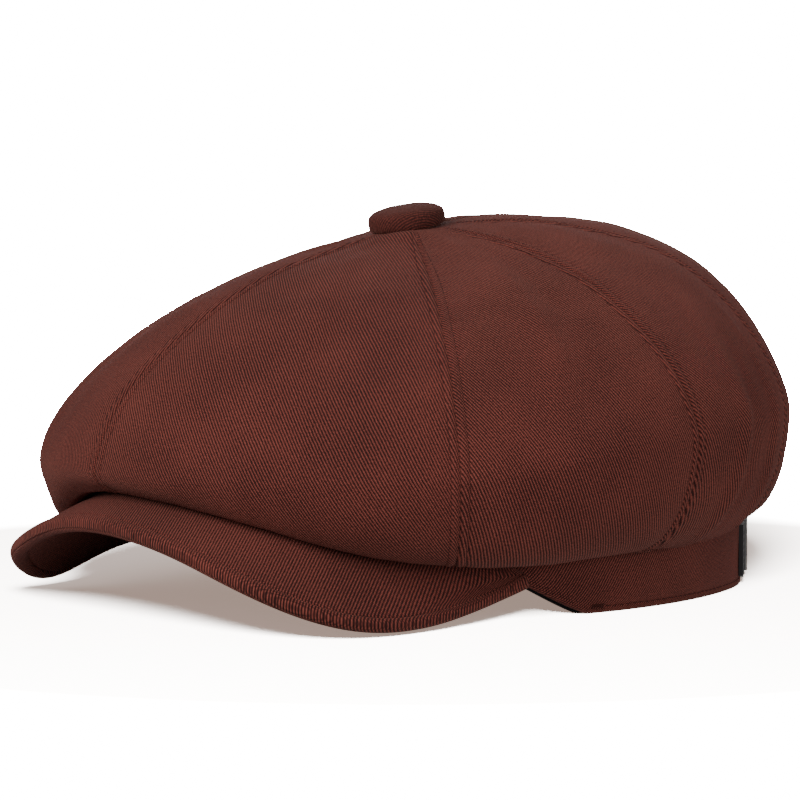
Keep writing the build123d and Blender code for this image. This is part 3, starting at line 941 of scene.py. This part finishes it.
def wall_points(angles, offset, height):
    """Points round the band at an offset and a height, and the way out from each."""
    ahead, left = oval(angles, offset)
    points = np.stack([left, ahead_to_y(ahead), band_foot(angles) + height], -1)
    ahead_out, left_out = oval(angles, offset + 1)
    return points, np.stack([left_out - left, ahead - ahead_out, 0 * left], -1)


def band_strip(strip, end_angle, relief):
    """Strip round the head: outer face, turned lower edge and inner face, open at the top."""
    (outer_offset, inner_offset), foot, rows = strip
    turn = np.linspace(-1, 1, BAND_COLUMNS)
    heights = np.linspace(BAND_HEIGHT, foot, rows)
    middle = (outer_offset + inner_offset) / 2
    half = (outer_offset - inner_offset) / 2
    section = [(outer_offset, h) for h in heights[:-1]]
    section += [
        (middle + half * math.cos(t), foot + half - half * math.sin(t))
        for t in np.linspace(0, np.pi, HEM_TURNS)
    ]
    section += [(inner_offset, h) for h in heights[-2::-1]]
    points = []
    for face_offset, height in section:
        cut = 0.0
        if height < BAND_CORNER:
            rise = min(BAND_CORNER, BAND_CORNER - height)
            cut = BAND_CORNER - math.sqrt(BAND_CORNER**2 - rise**2)
        reach = end_angle - math.degrees(cut / END_RADIUS)
        angles = reach * turn
        base, out = wall_points(angles, face_offset, height)
        out /= np.maximum(np.linalg.norm(out, axis=1, keepdims=True), 1e-9)
        bump = relief(height, base) * (1 if face_offset > middle else 0.3)
        points.append(base + out * bump[:, None])
    return np.array(points)


def close_ends(obj):
    """Fills each open rim with one face.

    The bands' rim runs round the head and isn't flat, so its face makes long stray triangles.
    """
    work = bmesh.new()
    work.from_mesh(obj.data)
    rim = [edge for edge in work.edges if edge.is_boundary]
    bmesh.ops.holes_fill(work, edges=rim, sides=0)
    work.to_mesh(obj.data)
    work.free()
    return obj


def band_relief(height, points):
    dent = -0.3 * bell(height, 2.3, 0.5)
    swell = 0.5 * field(points, 34, 2) + 0.22 * field(points, 12, 12)
    hem = 0.25 * (1 - smoothstep(1.9, 2.5, height))
    return dent + hem + swell * smoothstep(0.5, 6, height)


def strip_uv(points):
    """Lengths round the head, and up."""
    along = path_lengths(points[UV_ROW, :, :2])
    return np.stack([np.repeat(along[None], len(points), 0), points[..., 2]], -1)


def make_band():
    rear_end = opening_angle(OPENING_HALF)
    outer = band_strip(OUTER_BAND, rear_end, band_relief)
    obj = close_ends(grid_mesh("outer_band_cloth", outer, strip_uv(outer)))
    finish_piece(obj, "band", "cap", "twill", "outer_band")
    inner = band_strip(SWEATBAND, rear_end, sweat_relief)
    sweat = close_ends(grid_mesh("sweatband_cloth", inner, strip_uv(inner)))
    finish_piece(sweat, "sweatband", "cap", "sweatband", "sweatband")
    sew_hem(rear_end)


def hem_path(start, end, height):
    """Line along the outer band's face, with the normals there."""
    return wall_points(np.linspace(start, end, HEM_POINTS), HEM_OFFSET, height)


def sew_hem(rear_end):
    """The hem's row of stitches behind the temples, with a bar-tack at each front end."""
    rows, tacks = [], []
    for side in (1, -1):
        rows.append(hem_path(side * HEM_START, side * (rear_end - 5), HEM_HEIGHT))
        for step in range(5):
            height = HEM_HEIGHT + 0.4 * (step - 2)
            tacks.append(hem_path(side * HEM_START, side * (HEM_START + TACK_SPAN), height))
    sew("band_hem_stitches", rows)
    sew("band_bar_tacks", tacks, pitch=0.9, length=0.85, lift=0.2)


def sweat_relief(height, points):
    return 0.25 * field(points, 20, 7)


make_band()

# -------- button

BUTTON_SLOPE = 0.19
BUTTON_ROWS = 70
BUTTON_COLUMNS = 160
GATHERS = 26
# Half section from the middle of the top, over the edge and in under it: (radius, 0, height).
BUTTON_SECTION = (
    (0.05, 0, 7.1), (4.5, 0, 7.0), (8.6, 0, 6.6), (11.4, 0, 5.8), (12.8, 0, 4.6),
    (13.25, 0, 3.0), (13.2, 0, 1.2), (12.6, 0, 0.1), (10.4, 0, -0.5), (7.5, 0, -0.5),
)


def button_frame():
    """Axes of the button, tilted with the crown's top."""
    tilt = math.atan2(BUTTON_SLOPE, 1)
    origin = np.array([0, ahead_to_y(BUTTON_AHEAD), APEX_HEIGHT])
    back = np.array([0, math.cos(tilt), math.sin(tilt)])
    up = np.array([0, -math.sin(tilt), math.cos(tilt)])
    return origin, np.array([1.0, 0, 0]), back, up


def make_button():
    """Covered dome: cloth drawn round the edge and gathered under it."""
    spots = np.linspace(0, 1, BUTTON_ROWS)
    outline = cubic_through(BUTTON_SECTION, spots)
    radius, height = outline[:, 0], outline[:, 2]
    turns = np.linspace(0, 2 * np.pi, BUTTON_COLUMNS, endpoint=False)
    grid_r = np.repeat(radius[:, None], len(turns), 1)
    grid_z = np.repeat(height[:, None], len(turns), 1)
    grid_t = np.repeat(turns[None], len(radius), 0)
    rows = np.repeat(spots[:, None], len(turns), 1)
    gather = smoothstep(0.55, 0.85, rows)
    local = np.stack([grid_r * np.cos(grid_t), grid_r * np.sin(grid_t), grid_z], -1)
    grid_r = grid_r + 0.16 * gather * np.sin(GATHERS * grid_t + 3 * field(local, 5, 2))
    grid_z = grid_z + 0.22 * field(local, 6, 4) * smoothstep(0.0, 0.3, rows)
    origin, right, back, up = button_frame()
    points = (
        origin
        + right * (grid_r * np.cos(grid_t))[..., None]
        + back * (grid_r * np.sin(grid_t))[..., None]
        + up * grid_z[..., None]
    )
    reach = running_total(np.hypot(np.diff(radius), np.diff(height)))
    uv = reach[:, None, None] * np.stack([np.cos(grid_t), np.sin(grid_t)], -1)
    obj = thicken(grid_mesh("button_cover_cloth", points, uv, closed=True), COVER_CLOTH)
    finish_piece(obj, "button", "cap", "twill", "button_cover")


make_button()

# -------- strap and tab

STRAP_COLUMNS = 150
FACE_ROWS = 26
SELVEDGE_ROWS = 7
SELVEDGE_BULGE = 0.02
STRAP_TIP = 5.0             # radius of the free end's corners
TAB_MARGIN = 1.5            # the tab's stitches stop this far from its edges


def rear_arc(degrees, offset, level):
    turn = np.radians(degrees)
    radius = END_RADIUS + offset
    centre_y = ahead_to_y(BAND_AHEAD) + END_OFFSET
    return np.stack(
        [radius * np.sin(turn), centre_y + radius * np.cos(turn), level + 0 * turn], -1
    )


def make_strap():
    """Woven strap with rounded selvedges and a rounded free end."""
    degrees = np.linspace(*STRAP_SPAN, STRAP_COLUMNS)
    inner, outer = STRAP
    low, high = STRAP_LEVELS
    half = (outer - inner) / 2
    middle = (outer + inner) / 2
    tip = STRAP_TIP
    from_tip = np.radians(STRAP_SPAN[1] - degrees) * END_RADIUS
    cut = np.where(from_tip < tip, tip - np.sqrt(np.maximum(tip**2 - (tip - from_tip) ** 2, 0)), 0)
    section = []
    for t in np.linspace(0, 1, FACE_ROWS):
        section.append((middle + half, t))
    for turn in np.linspace(0, np.pi, SELVEDGE_ROWS)[1:-1]:
        section.append((middle + half * math.cos(turn), 1 + SELVEDGE_BULGE * math.sin(turn)))
    for t in np.linspace(1, 0, FACE_ROWS):
        section.append((middle - half, t))
    for turn in np.linspace(np.pi, 2 * np.pi, SELVEDGE_ROWS)[1:-1]:
        section.append((middle + half * math.cos(turn), SELVEDGE_BULGE * math.sin(turn)))
    rows = []
    for offset, t in section:
        level = low + cut + (high - low - 2 * cut) * t
        rows.append(rear_arc(degrees, offset, level))
    points = np.array(rows).transpose(1, 0, 2)
    across = np.arange(len(section)) * (high - low) / FACE_ROWS
    along = np.radians(degrees) * END_RADIUS
    uv = np.stack(np.meshgrid(across, along), -1)[..., ::-1]
    obj = close_ends(grid_mesh("strap_webbing", points, uv, closed=True))
    finish_piece(obj, "webbing", "strap", "strap", "strap")


def sew_tab():
    """Two upright rows of stitches hold the tab's legs on the band's end."""
    levels = np.linspace(TAB_LEVELS[0] + TAB_MARGIN, TAB_LEVELS[1] - TAB_MARGIN, 60)
    rows = []
    for degrees in TAB_ROWS:
        turn = math.radians(degrees)
        points = np.array([rear_arc(degrees, TAB_FACE, level) for level in levels])
        outs = np.repeat([[math.sin(turn), math.cos(turn), 0.0]], len(levels), 0)
        rows.append((points, outs))
    sew("tab_stitches", rows, "black_thread", "strap", pitch=2.4, length=1.9)


make_strap()
sew_tab()

# -------- carried-over CAD nodes

CARRIED = {
    "brim_board": "board",
    "band_interlining": "interlining",
    "button_shell": "button_metal",
    "button_back": "button_metal",
    "button_washer": "button_metal",
    "buckle_frame": "buckle",
    "buckle_lever": "buckle",
    "buckle_pin": "buckle",
    "buckle_tab": "webbing",
}


def dress_nodes():
    for node, material in CARRIED.items():
        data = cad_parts[node].data
        data.materials.clear()
        data.materials.append(materials[material])


dress_nodes()

# -------- floor, light and camera

FLOOR_HALF = 30.0
FLOOR_GLARE = 1.5
GLARE_TINT = (1.0, 0.94, 0.9)
FAR_GLARE = 150.0
GLARE_START = 0.25          # distances in metres between which the glare rises
GLARE_END = 1.5
SHADOW_VEIL = (0.41, 0.30, 0.25)    # how bright the floor stays in the deepest shadow
FLOOR_PAPER = (0.042, 0.0414, 0.0408)
SKY = 0.29
BACKDROP = 40.0
LIGHT_TARGET = (0, 0, 0.06)
# Name, place, size, watts, and how the floor is linked: EXCLUDE reaches everything but the floor,
# INCLUDE reaches only the floor.
LIGHTS = (
    ("key", (0.1, -1.5, 1.0), (1.1, 1.1), 20.5, "EXCLUDE"),
    ("top", (0.7, 0.5, 1.6), (1.2, 1.2), 0.3, "EXCLUDE"),
    ("fill", (1.4, 0.1, 0.25), (1.0, 0.5), 5.7, "EXCLUDE"),
    ("shade", (1.2, -1.0, 0.8), (0.4, 0.4), 450, "INCLUDE"),
    ("back", (-1.3, 1.1, 0.35), (1.0, 0.6), 6, "EXCLUDE"),
)


def floor_material():
    """White paper, overexposed in the picture, and dim to the cap because its light is strong."""
    material, tree, shader = new_material("floor")
    tree.nodes.remove(shader)
    output = tree.nodes["Material Output"]
    seen = add(tree, "ShaderNodeLightPath").outputs["Is Camera Ray"]
    place = add(tree, "ShaderNodeTexCoord").outputs["Object"]
    away = add(tree, "ShaderNodeVectorMath", {0: place}, operation="LENGTH").outputs["Value"]
    ends = {"From Min": GLARE_START, "From Max": GLARE_END}
    share = add(tree, "ShaderNodeMapRange", {"Value": away, **ends})
    burnt = add(tree, "ShaderNodeMix", {"Factor": share.outputs["Result"]}, data_type="RGBA")
    burnt.inputs["A"].default_value = (*(FLOOR_GLARE * part for part in GLARE_TINT), 1)
    burnt.inputs["B"].default_value = (FAR_GLARE, FAR_GLARE, FAR_GLARE, 1)
    glare = add(tree, "ShaderNodeMix", {"Factor": seen}, data_type="RGBA")
    glare.inputs["A"].default_value = (*FLOOR_PAPER, 1)
    tree.links.new(burnt.outputs["Result"], glare.inputs["B"])
    paper = add(tree, "ShaderNodeBsdfDiffuse", {"Color": glare.outputs["Result"]})
    veil = add(tree, "ShaderNodeEmission", {"Color": (*SHADOW_VEIL, 1), "Strength": seen})
    both = add(tree, "ShaderNodeAddShader")
    tree.links.new(paper.outputs["BSDF"], both.inputs[0])
    tree.links.new(veil.outputs["Emission"], both.inputs[1])
    tree.links.new(both.outputs["Shader"], output.inputs["Surface"])
    return material


def make_floor():
    low = cad_box[0][2]
    mesh = bpy.data.meshes.new("floor")
    corners = [
        (FLOOR_HALF * x, FLOOR_HALF * y, low) for x, y in ((-1, -1), (1, -1), (1, 1), (-1, 1))
    ]
    mesh.from_pydata(corners, [], [(0, 1, 2, 3)])
    floor = link(bpy.data.objects.new("floor", mesh))
    mesh.materials.append(floor_material())
    return floor


def area_light(name, place, size, power):
    data = bpy.data.lights.new(name, "AREA")
    data.shape = "RECTANGLE"
    data.size, data.size_y = size
    data.energy = power
    light = link(bpy.data.objects.new(name, data))
    light.location = place
    aim = Vector(LIGHT_TARGET) - Vector(place)
    light.rotation_euler = aim.to_track_quat("-Z", "Y").to_euler()
    return light


def link_light(light, obj, state):
    """Lets the light reach only this object (INCLUDE) or everything but it (EXCLUDE)."""
    reached = bpy.data.collections.new(light.name + "_reaches")
    reached.objects.link(obj)
    reached.collection_objects[0].light_linking.link_state = state
    light.light_linking.receiver_collection = reached


def make_lights(floor):
    world = bpy.data.worlds.new("studio")
    bpy.context.scene.world = world
    world.use_nodes = True
    tree = world.node_tree
    background = tree.nodes["Background"]
    background.inputs["Color"].default_value = (1, 1, 1, 1)
    seen = add(tree, "ShaderNodeLightPath").outputs["Is Camera Ray"]
    strength = multiply_add(tree, seen, BACKDROP - SKY, SKY)
    tree.links.new(strength, background.inputs["Strength"])
    for *settings, state in LIGHTS:
        link_light(area_light(*settings), floor, state)


CAMERA_AZIMUTH = 51.0
CAMERA_ELEVATION = 4.6
CAMERA_DISTANCE = 1.3
CAMERA_TARGET = Vector((0, FRONT_SHIFT * MM, 0.060))
CAMERA_LENS = 169.6
CAMERA_SHIFT = (-0.0436, 0.0203)


def make_camera():
    azimuth = math.radians(CAMERA_AZIMUTH)
    elevation = math.radians(CAMERA_ELEVATION)
    level = math.cos(elevation)
    direction = Vector(
        (math.sin(azimuth) * level, -math.cos(azimuth) * level, math.sin(elevation))
    )
    data = bpy.data.cameras.new("camera")
    data.lens = CAMERA_LENS
    data.sensor_width = 36
    data.shift_x, data.shift_y = CAMERA_SHIFT
    camera = link(bpy.data.objects.new("camera", data))
    camera.location = CAMERA_TARGET + direction * CAMERA_DISTANCE
    camera.rotation_euler = (-direction).to_track_quat("-Z", "Y").to_euler()
    bpy.context.scene.camera = camera


make_lights(make_floor())
make_camera()
